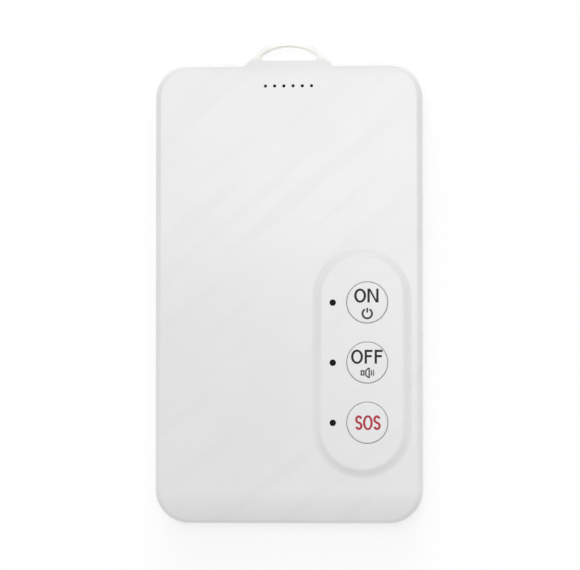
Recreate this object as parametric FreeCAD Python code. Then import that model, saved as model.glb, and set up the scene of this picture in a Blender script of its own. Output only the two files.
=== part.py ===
# Card-shaped GPS tracker with three keys, lying on its back.
# Millimetres. The origin is the centre of the back face, +Z points out of the front face,
# +X to the right of the front face and +Y towards the lanyard lug.
import FreeCAD, Part
import os
from math import acos, asin, atan2, cos, radians, sin, sqrt, tan

V = FreeCAD.Vector

# Housing, seen from the front
body_width = 57.8
body_height = 99.5
corner_radius = 7.3
side_wall = 1.5
front_wall = 1.2
back_floor = 1.2
front_edge_radius = 1.2
back_edge_radius = 1.0
head_roll_length = 2.5
head_roll_drop = 0.1
foot_roll_length = 6.5
foot_roll_drop = 0.95

# Joint between the two covers
rim_height = 1.0
parting_bevel = 0.15
lip_gap = 0.1
lip_thickness = 0.8
lip_clearance = 0.1
seal_width = 0.66
seal_height = 0.5
seal_gap = 0.02
inside_gap = 0.3

# Lanyard lug and its slot, on the top wall
lug_height = 4.7
lug_thickness = 3.4
lug_bar = 1.0
lug_foot_wall = 3.64
lug_flank_angle = 41.0
lug_roof_angle = 15.6
lug_roof_radius = 16.0
lug_shoulder_radius = 3.6
lug_foot_radius = 1.3
lug_root = 0.7
lug_foot_sink = 0.12
lug_rim_radius = 0.45
slot_width = 12.1
slot_base = 0.65
slot_side = 1.05
slot_arch_radius = 10.1
slot_corner_radius = 0.3
slot_shoulder_radius = 0.5
slot_rim_radius = 0.2

# Key pad: a low plateau whose side rolls out onto the face and over onto its level top
pad_radius = 9.4
pad_extra = 2.4
pad_margin_right = 2.2
pad_margin_bottom = 9.7
pad_rise = 0.46
pad_foot_roll = 3.2
pad_edge_roll = 1.6
pad_roll_share = 0.98
pad_step = 0.2

# Keys
key_names = ["on", "off", "sos"]
key_pitch = 12.95
key_offset = 1.1
key_diameter = 8.8
key_gap = 0.08
key_proud = 0.1
key_edge_radius = 0.25
key_hole_edge_radius = 0.2
key_skin = 1.0
key_skirt = 1.1
key_flange_width = 0.7
key_flange_thickness = 0.6
key_flange_gap = 0.05
key_stem_diameter = 2.4
key_travel = 0.35
key_spare = 0.6
key_notch_width = 1.2
key_notch_gap = 0.15

# Key switches under the keys
switch_side = 5.2
switch_height = 1.2
switch_floor = 0.3
switch_corner = 0.4
plunger_reach = 0.5
plunger_gap = 0.05
plunger_spare = 0.1

# Indicators: chip, light pipe and hole
light_offset = 7.43
light_pipe_diameter = 1.3
light_pipe_gap = 0.05
light_pipe_recess = 0.05
light_flange_width = 0.55
light_flange_thickness = 0.5
led_length = 1.6
led_width = 0.8
led_height = 0.6
led_gap = 0.1

# Speaker, its holes and its lint mesh
speaker_width = 15.0
speaker_depth = 6.0
speaker_height = 3.0
speaker_corner = 1.0
speaker_gap = 0.45
speaker_hole_count = 6
speaker_hole_pitch = 2.0
speaker_hole_diameter = 0.7
mesh_thickness = 0.3
mesh_margin = 1.0
fence_thickness = 0.8
fence_gap = 0.1
fence_height = 1.9
speaker_lead_diameter = 0.7
speaker_lead_spacing = 4.0
speaker_lead_rest = 1.6

# Circuit board
board_thickness = 0.8
board_margin = 1.0
board_side_gap = 0.3
board_to_speaker = 2.05
column_lead = 5.0
board_corner = 0.6
battery_to_board = 1.0

# Case screws and their bosses
boss_radius = 2.25
case_screw_diameter = 1.4
case_screw_length = 4.5
case_head_diameter = 2.6
case_head_height = 0.9
case_head_sink = 0.2
case_head_gap = 0.2
case_hole_gap = 0.1

# Board screws and their posts
post_radius = 1.5
post_inset = 0.8
board_screw_diameter = 1.2
board_screw_length = 3.0
board_head_diameter = 2.4
board_head_height = 0.6
thread_gap = 0.02
board_hole_gap = 0.1
pilot_spare = 0.2
screw_recess_width = 1.2
screw_recess_depth = 0.35

# Battery
battery_thickness = 4.8
battery_swell_gap = 0.6
battery_corner = 2.0
battery_edge_radius = 1.2
battery_side_gap = 0.5
tape_thickness = 0.2
tape_margin = 2.0
protection_width = 26.0
protection_depth = 3.0
protection_height = 1.6
lead_diameter = 1.0
lead_spacing = 1.4
lead_length = 7.5
lead_inset = 1.6
battery_socket_width = 4.6
battery_socket_depth = 3.2
battery_socket_height = 1.6

# Radio modules, antennas and chips
patch_side = 18.0
patch_height = 2.0
patch_corner = 0.8
patch_tape_inset = 0.5
modem_width = 17.8
modem_depth = 15.8
modem_height = 2.4
gnss_width = 12.0
gnss_depth = 10.0
gnss_height = 1.5
can_wall = 0.2
can_corner = 0.8
can_chip_gap = 2.0
can_chip_height = 1.0
front_clearance = 0.5
rear_clearance = 0.2
flex_thickness = 0.2
flex_width = 11.6
flex_depth = 6.6
flex_tail_width = 3.0
flex_wall_gap = 0.5
spring_width = 1.6
spring_depth = 1.2
spring_sheet = 0.2
spring_edge_gap = 0.4
power_chip_side = 4.0
power_chip_height = 0.85
inductor_side = 4.0
inductor_height = 1.2
inductor_corner = 0.8
motion_chip_side = 2.0
motion_chip_height = 0.95
chip_row_above_key = 10.0
chip_spacing = 6.0
microphone_width = 3.76
microphone_depth = 2.95
microphone_height = 1.1
microphone_port_diameter = 1.0

# SIM socket and card
sim_width = 12.3
sim_depth = 8.8
sim_height = 0.67
sim_gap = 0.1
sim_socket_wall = 1.1
sim_socket_base = 0.5
sim_socket_cover = 0.15
sim_cut = 1.6
sim_grip = 0.8
sim_row_above_key = 7.5

# Charging contacts and magnets in the back
contact_spacing = 4.0
contact_diameter = 1.8
contact_gap = 0.02
contact_proud = 0.1
contact_flange_width = 0.5
contact_flange_thickness = 0.4
contact_stem_diameter = 1.2
contact_row_above_board_end = 4.1
magnet_diameter = 3.0
magnet_height = 1.0
magnet_cover = 0.4
magnet_spacing = 12.6
magnet_gap = 0.05
charge_recess_depth = 0.3
charge_recess_margin = 1.2

# How far a cutting shape runs past the surface that it cuts
spare = 1.0

# Heights that follow from what is stacked between the two walls
sim_socket_height = sim_socket_base + sim_gap + sim_height + sim_socket_cover
key_stack = (
    switch_height + key_travel + key_spare + key_flange_thickness + key_flange_gap + pad_step
)
front_room = max(
    key_stack,
    modem_height + front_clearance,
    tape_thickness + patch_height + front_clearance,
)
battery_stack = tape_thickness + battery_thickness + battery_swell_gap
rear_room = max(
    battery_socket_height + rear_clearance,
    sim_socket_height + rear_clearance,
    gnss_height + rear_clearance,
    battery_stack - board_thickness - front_room,
)
board_bottom = back_floor + rear_room
board_top = board_bottom + board_thickness
wall_under = board_top + front_room
face = wall_under + front_wall
pad_under = wall_under - pad_step
pad_top = face + pad_rise
parting = back_floor + rim_height
lip_top = board_bottom - lip_clearance

# Places that follow from the housing
half_width = body_width / 2
half_height = body_height / 2
inner_x = half_width - side_wall
inner_y = half_height - side_wall
lip_inset = side_wall + lip_gap + lip_thickness
corner_room = corner_radius - lip_inset - boss_radius - inside_gap
boss_offset = min(corner_room / sqrt(2), corner_room)
boss_x = half_width - corner_radius + boss_offset
boss_y = half_height - corner_radius + boss_offset
pad_slope = acos(1 - pad_rise / (pad_foot_roll + pad_edge_roll))
pad_outer = pad_radius + pad_foot_roll * sin(pad_slope)
pad_half = key_pitch + pad_extra / 2
pad_x = half_width - pad_margin_right - pad_outer
pad_y = -half_height + pad_margin_bottom + pad_outer + pad_half
key_x = pad_x + key_offset
key_ys = [pad_y + key_pitch * (1 - i) for i in range(len(key_names))]
key_radius = key_diameter / 2
key_hole_radius = key_radius + key_gap
flange_radius = key_radius + key_flange_width
flange_top = pad_under - key_flange_gap
flange_bottom = flange_top - key_flange_thickness
plunger_top = board_top + switch_height + plunger_reach
light_x = key_x - light_offset
speaker_y = inner_y - speaker_gap - speaker_depth / 2
board_left = -inner_x + board_side_gap
board_right = inner_x - board_side_gap
board_end = speaker_y - speaker_depth / 2 - board_to_speaker
board_foot = -boss_y + boss_radius + inside_gap
column_left = light_x - column_lead
band_foot = board_end - patch_side - 2 * board_margin
column_x = (column_left + board_right) / 2
battery_left = -half_width + lip_inset + inside_gap
battery_right = column_left - battery_side_gap
battery_foot = board_foot
battery_end = band_foot - battery_to_board - protection_depth
patch_x = board_left + board_margin + patch_side / 2
patch_y = (band_foot + board_end) / 2
post_reach = post_radius + post_inset
upper_post_x = patch_x + patch_side / 2 + inside_gap + post_radius
post_places = [
    (board_right - post_reach, board_end - post_reach),
    (upper_post_x, board_end - post_reach),
    (board_right - post_reach, board_foot + post_reach),
    (column_left + post_reach, board_foot + post_reach),
]
modem_x = (post_places[0][0] + upper_post_x) / 2
contact_y = board_foot + contact_row_above_board_end
microphone_y = board_foot + board_margin / 2 + microphone_depth / 2
corners = [(boss_x, boss_y), (-boss_x, boss_y), (boss_x, -boss_y), (-boss_x, -boss_y)]


def rounded_wire(points, radii):
    """Closed wire through the points of the plane z = 0, each corner rounded by its radius."""
    count = len(points)
    corner_points = [V(x, y, 0) for x, y in points]
    reaches = []
    for i in range(count):
        to_last = (corner_points[i - 1] - corner_points[i]).normalize()
        to_next = (corner_points[(i + 1) % count] - corner_points[i]).normalize()
        reaches.append(radii[i] / tan(to_last.getAngle(to_next) / 2))
    limited = []
    for i in range(count):
        share = 1.0
        for other in (i - 1, (i + 1) % count):
            length = corner_points[other].distanceToPoint(corner_points[i])
            if reaches[other] + reaches[i] > length:
                share = min(share, 0.999 * length / (reaches[other] + reaches[i]))
        limited.append(reaches[i] * share)
    edges = []
    ends = []
    for i in range(count):
        corner = corner_points[i]
        to_last = (corner_points[i - 1] - corner).normalize()
        to_next = (corner_points[(i + 1) % count] - corner).normalize()
        start = corner + to_last * limited[i]
        end = corner + to_next * limited[i]
        ends.append((start, end))
        if limited[i] > 1e-6:
            half_angle = to_last.getAngle(to_next) / 2
            radius = limited[i] * tan(half_angle)
            middle_way = (to_last + to_next).normalize()
            middle = corner + middle_way * (radius / sin(half_angle) - radius)
            edges.append(Part.Arc(start, middle, end).toShape())
    for i in range(count):
        start = ends[i][1]
        end = ends[(i + 1) % count][0]
        if start.distanceToPoint(end) > 1e-6:
            edges.append(Part.LineSegment(start, end).toShape())
    return Part.Wire(Part.__sortEdges__(edges))


def plate(points, radii, low, high):
    """Solid with a rounded outline seen from the front, from one height to another."""
    outline = Part.Face(rounded_wire(points, radii))
    outline.translate(V(0, 0, low))
    return outline.extrude(V(0, 0, high - low))


def block(x, y, size_x, size_y, low, high, corner=0.0):
    """Box centred on x and y, with its four upright edges rounded."""
    a = size_x / 2
    b = size_y / 2
    points = [(x - a, y - b), (x + a, y - b), (x + a, y + b), (x - a, y + b)]
    return plate(points, [corner] * len(points), low, high)


def housing_block(inset, low, high):
    """The housing's outline drawn in by an inset, from one height to another."""
    width = body_width - 2 * inset
    height = body_height - 2 * inset
    return block(0, 0, width, height, low, high, max(corner_radius - inset, 0.2))


def rod(x, y, radius, low, high):
    return Part.makeCylinder(radius, high - low, V(x, y, low))


def turned(points, radii, x, y):
    """Solid of revolution about an upright axis; the points are radius and height."""
    profile = Part.Face(rounded_wire(points, radii))
    profile.rotate(V(0, 0, 0), V(1, 0, 0), 90)
    solid = profile.revolve(V(0, 0, 0), V(0, 0, 1), 360)
    solid.translate(V(x, y, 0))
    return solid


def united(shapes):
    """One shape from shapes that meet."""
    return shapes[0].fuse(shapes[1:]).removeSplitter()


def cut_all(solid, tools):
    for tool in tools:
        solid = solid.cut(tool)
    return solid


def on_outline(point):
    """True where a point lies on the housing's outer wall."""
    over_x = max(abs(point.x) - (half_width - corner_radius), 0)
    over_y = max(abs(point.y) - (half_height - corner_radius), 0)
    return abs(sqrt(over_x**2 + over_y**2) - corner_radius) < 0.001


def outline_edges(solid, low, high):
    """Edges of the outer wall that lie wholly between two heights."""
    found = []
    for edge in solid.Edges:
        box = edge.BoundBox
        middle = edge.valueAt((edge.FirstParameter + edge.LastParameter) / 2)
        if box.ZMin > low and box.ZMax < high and on_outline(middle):
            found.append(edge)
    return found


def roll(end, length, drop, reach):
    """Arc from the level face down past an end wall; end is 1 at the lug and -1 at the foot."""
    radius = (length**2 + drop**2) / (2 * drop)
    turn = asin((length + reach) / radius)
    level = half_height - length
    points = []
    for angle in (0, turn / 2, turn):
        out = level + radius * sin(angle)
        points.append(V(0, end * out, face - radius * (1 - cos(angle))))
    return points


def rolled_block():
    """Outer form of the front cover: the face rolls off towards both ends, most at the foot,
    and one edge radius runs round it and the lug."""
    head = roll(1, head_roll_length, head_roll_drop, lug_height + spare)
    foot = roll(-1, foot_roll_length, foot_roll_drop, spare)
    head_low = V(0, head[2].y, parting)
    foot_low = V(0, foot[2].y, parting)
    side = [
        Part.LineSegment(foot_low, head_low),
        Part.LineSegment(head_low, head[2]),
        Part.Arc(*head),
        Part.LineSegment(head[0], foot[0]),
        Part.Arc(*foot),
        Part.LineSegment(foot[2], foot_low),
    ]
    section = Part.Face(Part.Wire(Part.__sortEdges__([piece.toShape() for piece in side])))
    section.translate(V(-body_width, 0, 0))
    solid = united([housing_block(0, parting, face), lanyard_lug()])
    solid = solid.common(section.extrude(V(2 * body_width, 0, 0)))
    edge_low = min(head[2].z, foot[2].z) - 0.01
    rim = []
    for edge in solid.Edges:
        box = edge.BoundBox
        start = min(abs(box.YMin - head[0].y), abs(box.YMin - foot[0].y))
        across = box.YLength < 0.001 and start < 0.001
        if box.ZMin > edge_low and not across:
            rim.append(edge)
    return solid.makeFillet(front_edge_radius, rim)


def lanyard_lug():
    """Arched lug up to the level of the face, its lower rim rounded, rooted in the top wall."""
    low = face - lug_thickness
    flank = tan(radians(lug_flank_angle))
    roof = tan(radians(lug_roof_angle))
    roof_lift = lug_roof_radius * (1 / cos(radians(lug_roof_angle)) - 1)
    apex = lug_height + roof_lift
    foot = slot_width / 2 + lug_foot_wall
    shoulder_x = (foot * flank - apex) / (flank - roof)
    shoulder_y = apex - roof * shoulder_x
    base = -lug_foot_sink
    foot_x = foot + lug_foot_sink / flank
    side_x = foot_x + lug_foot_radius
    outline = [
        (-side_x, -lug_root),
        (side_x, -lug_root),
        (side_x, base),
        (foot_x, base),
        (shoulder_x, shoulder_y),
        (0, apex),
        (-shoulder_x, shoulder_y),
        (-foot_x, base),
        (-side_x, base),
    ]
    outline_radii = [
        0,
        0,
        0,
        lug_foot_radius,
        lug_shoulder_radius,
        lug_roof_radius,
        lug_shoulder_radius,
        lug_foot_radius,
        0,
    ]
    lug = plate(outline, outline_radii, low, face)
    rim = []
    for edge in lug.Edges:
        if edge.BoundBox.ZMax < low + 0.001 and edge.BoundBox.YMax > base + 0.01:
            rim.append(edge)
    lug = lug.makeFillet(lug_rim_radius, rim)
    lug.translate(V(0, half_height, 0))
    return lug


def strap_slot(cover):
    """The cover with the arched slot through its lug, the slot's rims rounded."""
    half_slot = slot_width / 2
    slot_shoulder = slot_base + slot_side
    slot_peak = lug_height - lug_bar
    reach = half_slot - slot_shoulder_radius
    arch_angle = atan2(reach, sqrt(max(slot_arch_radius**2 - reach**2, 0.01)))
    slot_apex = slot_peak + slot_arch_radius * (1 / cos(arch_angle) - 1)
    slot_shoulder = min(slot_shoulder, slot_apex - half_slot * tan(arch_angle))
    slot_outline = [
        (-half_slot, slot_base),
        (half_slot, slot_base),
        (half_slot, slot_shoulder),
        (0, slot_apex),
        (-half_slot, slot_shoulder),
    ]
    slot_radii = [
        slot_corner_radius,
        slot_corner_radius,
        slot_shoulder_radius,
        slot_arch_radius,
        slot_shoulder_radius,
    ]
    slot = plate(slot_outline, slot_radii, face - lug_thickness, face)
    slot.translate(V(0, half_height, 0))
    cover = cover.cut(slot)
    slot_rims = []
    for edge in cover.Edges:
        box = edge.BoundBox
        low_end = box.YMin - half_height > slot_base - 0.01
        high_end = box.YMax - half_height < slot_peak + 0.01
        inside = low_end and high_end and max(-box.XMin, box.XMax) < half_slot + 0.01
        if inside and box.XLength + box.YLength > 0.001:
            slot_rims.append(edge)
    return cover.makeFillet(slot_rim_radius, slot_rims)


def stadium(x, y, radius, half_length, low, high):
    """Upright solid with straight sides along Y and round ends."""
    points = [
        (x - radius, y - half_length - radius),
        (x + radius, y - half_length - radius),
        (x + radius, y + half_length + radius),
        (x - radius, y + half_length + radius),
    ]
    return plate(points, [radius] * len(points), low, high)


def raised_pad():
    """Key pad: one profile, drawn out along its straight sides and turned at its round ends."""
    root = wall_under + front_wall / 2
    brim = pad_outer + front_wall / 2
    foot = pad_radius + pad_foot_roll * tan(pad_slope / 2) * cos(pad_slope)
    edge = pad_radius - pad_edge_roll * tan(pad_slope / 2) * cos(pad_slope)
    points = [(0, root), (brim, root), (brim, face), (foot, face), (edge, pad_top), (0, pad_top)]
    radii = [0, 0, 0, pad_foot_roll * pad_roll_share, pad_edge_roll * pad_roll_share, 0]
    profile = Part.Face(rounded_wire(points, radii))
    profile.rotate(V(0, 0, 0), V(1, 0, 0), 90)
    right = profile.copy()
    right.translate(V(0, -pad_half, 0))
    left = right.copy()
    left.rotate(V(0, -pad_half, 0), V(0, 0, 1), 180)
    upper = profile.copy()
    upper.translate(V(0, pad_half, 0))
    length = V(0, 2 * pad_half, 0)
    pad = united(
        [
            right.extrude(length),
            upper.revolve(V(0, pad_half, 0), V(0, 0, 1), 180),
            left.extrude(length),
            right.revolve(V(0, -pad_half, 0), V(0, 0, 1), -180),
        ]
    )
    pad.translate(V(pad_x, pad_y, 0))
    return pad


def front_cover():
    """Front half of the housing, one moulding with the lug, key pad, bosses and posts."""
    cover = strap_slot(rolled_block())
    parting_edges = outline_edges(cover, parting - 0.01, parting + 0.01)
    cover = cover.makeChamfer(parting_bevel, parting_edges)
    cover = cover.cut(housing_block(side_wall, parting, wall_under))
    added = [stadium(pad_x, pad_y, pad_radius, pad_half, pad_under, wall_under)]
    for x, y in corners:
        added.append(rod(x, y, boss_radius, parting, wall_under))
    for x, y in post_places:
        added.append(rod(x, y, post_radius, board_top, wall_under))
    fence_low = wall_under - mesh_thickness - fence_height
    fence_width = speaker_width + 2 * (fence_gap + fence_thickness)
    fence_depth = speaker_depth + 2 * (fence_gap + fence_thickness)
    pocket_width = speaker_width + 2 * fence_gap
    pocket_depth = speaker_depth + 2 * fence_gap
    fence = block(0, speaker_y, fence_width, fence_depth, fence_low, wall_under, speaker_corner)
    pocket = block(0, speaker_y, pocket_width, pocket_depth, fence_low, wall_under, speaker_corner)
    added.append(fence.cut(pocket))
    rib_width = key_notch_width - 2 * key_notch_gap
    rib_depth = flange_radius - key_hole_radius
    rib_low = flange_bottom - key_travel
    for y in key_ys:
        rib_x = key_hole_radius + key_notch_gap + rib_depth / 2
        added.append(block(key_x + rib_x, y, rib_depth, rib_width, rib_low, pad_under))
    cover = united([cover, raised_pad()] + added)

    middle = side_wall / 2
    groove = seal_width / 2 + seal_gap
    groove_top = parting + seal_height
    outer_groove = housing_block(middle - groove, parting, groove_top)
    tools = [outer_groove.cut(housing_block(middle + groove, parting, groove_top))]
    for y in key_ys:
        tools.append(rod(key_x, y, key_hole_radius, pad_under - spare, pad_top + spare))
        light_hole = light_pipe_diameter / 2 + light_pipe_gap
        tools.append(rod(light_x, y, light_hole, pad_under - spare, pad_top + spare))
    first = -(speaker_hole_count - 1) / 2 * speaker_hole_pitch
    for i in range(speaker_hole_count):
        x = first + i * speaker_hole_pitch
        hole = rod(x, speaker_y, speaker_hole_diameter / 2, wall_under - spare, face + spare)
        tools.append(hole)
    screw_end = case_seat() + case_screw_length + pilot_spare
    for x, y in corners:
        pilot = case_screw_diameter / 2 + thread_gap
        tools.append(rod(x, y, pilot, parting - spare, screw_end))
    board_screw_end = board_bottom + board_screw_length + pilot_spare
    for x, y in post_places:
        pilot = board_screw_diameter / 2 + thread_gap
        tools.append(rod(x, y, pilot, board_top - spare, board_screw_end))
    port = Part.makeCylinder(
        microphone_port_diameter / 2,
        side_wall + 2 * spare,
        V(column_x, -half_height - spare, board_top + microphone_height / 2),
        V(0, 1, 0),
    )
    tools.append(port)
    cover = cut_all(cover, tools)
    return cover.makeFillet(key_hole_edge_radius, key_hole_rims(cover))


def key_hole_rims(cover):
    """Rims of the key holes on the pad."""
    found = []
    for edge in cover.Edges:
        box = edge.BoundBox
        on_pad = box.ZLength < 0.001 and abs(box.ZMax - pad_top) < 0.001
        if on_pad and abs(box.XLength - 2 * key_hole_radius) < 0.001:
            found.append(edge)
    return found


def case_seat():
    """Height of the face that a case screw's head bears on."""
    return case_head_sink + case_head_height


def recess_half_length():
    return magnet_spacing / 2 + magnet_diameter / 2


def back_cover():
    """Back half of the housing: a shallow tray with a lip, screw seats and a charging recess."""
    cover = housing_block(0, 0, parting)
    cover = cover.makeFillet(back_edge_radius, outline_edges(cover, -0.01, 0.01))
    cover = cover.makeChamfer(parting_bevel, outline_edges(cover, parting - 0.01, parting + 0.01))
    cover = cover.cut(housing_block(lip_inset, back_floor, parting))
    lip = housing_block(side_wall + lip_gap, parting, lip_top)
    lip = lip.cut(housing_block(lip_inset, parting, lip_top))
    added = [lip]
    for x, y in corners:
        added.append(rod(x, y, boss_radius, back_floor, parting))
    cover = united([cover] + added)
    tools = []
    for x, y in corners:
        head_hole = case_head_diameter / 2 + case_head_gap
        tools.append(rod(x, y, head_hole, -spare, case_seat()))
        hole = case_screw_diameter / 2 + case_hole_gap
        tools.append(rod(x, y, hole, 0, parting + spare))
    recess_radius = magnet_diameter / 2 + charge_recess_margin
    width = 2 * (recess_half_length() + charge_recess_margin)
    recess = block(
        column_x, contact_y, width, 2 * recess_radius, -spare, charge_recess_depth, recess_radius
    )
    tools.append(recess)
    for side in (-1, 1):
        x = column_x + side * contact_spacing / 2
        radius = contact_diameter / 2 + contact_gap
        tools.append(rod(x, contact_y, radius, 0, back_floor + spare))
        x = column_x + side * magnet_spacing / 2
        magnet_low = charge_recess_depth + magnet_cover
        radius = magnet_diameter / 2 + magnet_gap
        tools.append(rod(x, contact_y, radius, magnet_low, back_floor + spare))
    return cut_all(cover, tools)


def case_seal():
    middle = side_wall / 2
    ring = housing_block(middle - seal_width / 2, parting, parting + seal_height)
    return ring.cut(housing_block(middle + seal_width / 2, parting, parting + seal_height))


def screw(x, y, seat, head_diameter, head_height, diameter, length, recess):
    """Screw driven upwards: flat head below its seat, plain shank above it, cross recess."""
    head_low = seat - head_height
    head_radius = head_diameter / 2
    radius = diameter / 2
    point = radius / 2
    points = [
        (0, head_low),
        (head_radius, head_low),
        (head_radius, seat),
        (radius, seat),
        (radius, seat + length - point),
        (point, seat + length),
        (0, seat + length),
    ]
    radii = [0, head_height / 3, 0, 0, 0, 0, 0]
    solid = turned(points, radii, x, y)
    for turn in (0, 90):
        arm = block(x, y, recess, recess / 4, head_low - spare, head_low + screw_recess_depth)
        arm.rotate(V(x, y, 0), V(0, 0, 1), turn)
        solid = solid.cut(arm)
    return solid


def case_screws():
    """The four screws that close the housing, driven from the back."""
    screws = []
    for x, y in corners:
        screws.append(
            screw(
                x,
                y,
                case_seat(),
                case_head_diameter,
                case_head_height,
                case_screw_diameter,
                case_screw_length,
                screw_recess_width,
            )
        )
    return Part.makeCompound(screws)


def board_screws():
    """The four screws that hold the board to the posts of the front cover."""
    screws = []
    for x, y in post_places:
        screws.append(
            screw(
                x,
                y,
                board_bottom,
                board_head_diameter,
                board_head_height,
                board_screw_diameter,
                board_screw_length,
                screw_recess_width,
            )
        )
    return Part.makeCompound(screws)


def keycap(y):
    """Moulded key: cored cap, flange that keeps it in, stem, and a notch that stops it turning."""
    top = pad_top + key_proud
    core_top = top - key_skin
    core_radius = key_radius - key_skirt
    stem_radius = key_stem_diameter / 2
    points = [
        (0, plunger_top),
        (stem_radius, plunger_top),
        (stem_radius, core_top),
        (core_radius, core_top),
        (core_radius, flange_bottom),
        (flange_radius, flange_bottom),
        (flange_radius, flange_top),
        (key_radius, flange_top),
        (key_radius, top),
        (0, top),
    ]
    radii = [0, 0, 0, 0, 0, 0, 0, 0, key_edge_radius, 0]
    cap = turned(points, radii, key_x, y)
    notch_x = key_x + key_hole_radius + flange_radius / 2
    notch = block(
        notch_x, y, flange_radius, key_notch_width, flange_bottom - spare, flange_top
    )
    return cap.cut(notch)


def switch_plunger(y):
    low = board_top + switch_floor + plunger_spare + key_travel
    return rod(key_x, y, key_stem_diameter / 2, low, plunger_top)


def tact_switch(y):
    """Low switch housing, open at the top for its plunger."""
    high = board_top + switch_height
    housing = block(key_x, y, switch_side, switch_side, board_top, high, switch_corner)
    bore = key_stem_diameter / 2 + plunger_gap
    return housing.cut(rod(key_x, y, bore, board_top + switch_floor, high + spare))


def light_pipe(y):
    """Light pipe: a rod up through the pad, with a flange under the wall."""
    low = board_top + led_height + led_gap
    radius = light_pipe_diameter / 2
    flange = radius + light_flange_width
    flange_low = pad_under - light_flange_thickness
    points = [
        (0, low),
        (radius, low),
        (radius, flange_low),
        (flange, flange_low),
        (flange, pad_under),
        (radius, pad_under),
        (radius, pad_top - light_pipe_recess),
        (0, pad_top - light_pipe_recess),
    ]
    return turned(points, [0] * len(points), light_x, y)


def led(y):
    return block(light_x, y, led_length, led_width, board_top, board_top + led_height)


def main_board():
    """L-shaped board: a band under the antenna and modem, and a column under the keys."""
    outline = [
        (column_left, board_foot),
        (board_right, board_foot),
        (board_right, board_end),
        (board_left, board_end),
        (board_left, band_foot),
        (column_left, band_foot),
    ]
    board = plate(outline, [board_corner] * len(outline), board_bottom, board_top)
    radius = board_screw_diameter / 2 + board_hole_gap
    holes = [rod(x, y, radius, board_bottom - spare, board_top + spare) for x, y in post_places]
    return cut_all(board, holes)


def battery_cell():
    """Flat pouch cell with soft edges, on its tape."""
    low = back_floor + tape_thickness
    x = (battery_left + battery_right) / 2
    y = (battery_foot + battery_end) / 2
    width = battery_right - battery_left
    height = battery_end - battery_foot
    cell = block(x, y, width, height, low, low + battery_thickness, battery_corner)
    long_edges = [edge for edge in cell.Edges if edge.BoundBox.ZLength < 0.001]
    return cell.makeFillet(battery_edge_radius, long_edges)


def battery_tape():
    x = (battery_left + battery_right) / 2
    y = (battery_foot + battery_end) / 2
    width = battery_right - battery_left - 2 * tape_margin
    height = battery_end - battery_foot - 2 * tape_margin
    return block(x, y, width, height, back_floor, back_floor + tape_thickness)


def protection_x():
    return (battery_left + battery_right) / 2


def battery_protection_board():
    """Narrow board on the cell's upper edge."""
    y = battery_end + protection_depth / 2
    high = board_bottom
    return block(protection_x(), y, protection_width, protection_depth, high - protection_height, high)


def lead_x(side):
    right = protection_x() + protection_width / 2 - lead_inset
    return right - lead_spacing / 2 + side * lead_spacing / 2


def battery_lead(side):
    """Straight lead from the protection board to the socket under the main board."""
    start = battery_end + protection_depth
    z = board_bottom - protection_height / 2
    return Part.makeCylinder(lead_diameter / 2, lead_length, V(lead_x(side), start, z), V(0, 1, 0))


def battery_socket():
    x = (lead_x(-1) + lead_x(1)) / 2
    y = battery_end + protection_depth + lead_length + battery_socket_depth / 2
    low = board_bottom - battery_socket_height
    return block(x, y, battery_socket_width, battery_socket_depth, low, board_bottom)


def patch_tape():
    side = patch_side - 2 * patch_tape_inset
    return block(patch_x, patch_y, side, side, board_top, board_top + tape_thickness)


def gps_patch_antenna():
    low = board_top + tape_thickness
    return block(patch_x, patch_y, patch_side, patch_side, low, low + patch_height, patch_corner)


def shield_can(x, y, width, depth, low, high, open_at_low):
    """Folded sheet lid over a module, open on the side of the board."""
    can = block(x, y, width, depth, low, high, can_corner)
    inner_width = width - 2 * can_wall
    inner_depth = depth - 2 * can_wall
    inner_low = low if open_at_low else low + can_wall
    inner_high = high - can_wall if open_at_low else high
    return can.cut(
        block(x, y, inner_width, inner_depth, inner_low, inner_high, can_corner - can_wall)
    )


def modem_shield():
    high = board_top + modem_height
    return shield_can(modem_x, patch_y, modem_width, modem_depth, board_top, high, True)


def modem_chip():
    width = modem_width - 2 * can_chip_gap
    depth = modem_depth - 2 * can_chip_gap
    return block(modem_x, patch_y, width, depth, board_top, board_top + can_chip_height)


def gnss_shield():
    low = board_bottom - gnss_height
    return shield_can(patch_x, patch_y, gnss_width, gnss_depth, low, board_bottom, False)


def gnss_chip():
    width = gnss_width - 2 * can_chip_gap
    depth = gnss_depth - 2 * can_chip_gap
    return block(patch_x, patch_y, width, depth, board_bottom - can_chip_height, board_bottom)


def antenna_left():
    return speaker_width / 2 + fence_gap + fence_thickness + inside_gap


def antenna_spring_x():
    return antenna_left() + flex_width / 2


def lte_antenna():
    """Flexible printed antenna on the inside of the front wall, with a tail over the board."""
    left = antenna_left()
    right = min(left + flex_width, boss_x - boss_radius - inside_gap)
    top = inner_y - flex_wall_gap
    foot = top - flex_depth
    tail_left = antenna_spring_x() - flex_tail_width / 2
    tail_right = antenna_spring_x() + flex_tail_width / 2
    tail_foot = board_end - spring_edge_gap - spring_depth - spring_edge_gap
    outline = [
        (left, foot),
        (tail_left, foot),
        (tail_left, tail_foot),
        (tail_right, tail_foot),
        (tail_right, foot),
        (right, foot),
        (right, top),
        (left, top),
    ]
    return plate(outline, [0] * len(outline), wall_under - flex_thickness, wall_under)


def antenna_spring():
    """Folded contact spring between the board and the antenna's tail."""
    x = antenna_spring_x()
    y = board_end - spring_edge_gap - spring_depth / 2
    high = wall_under - flex_thickness
    spring = block(x, y, spring_width, spring_depth, board_top, high)
    gap = block(
        x + spring_sheet,
        y,
        spring_width,
        spring_depth + spare,
        board_top + spring_sheet,
        high - spring_sheet,
    )
    return spring.cut(gap)


def speaker():
    high = wall_under - mesh_thickness
    low = high - speaker_height
    return block(0, speaker_y, speaker_width, speaker_depth, low, high, speaker_corner)


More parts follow.
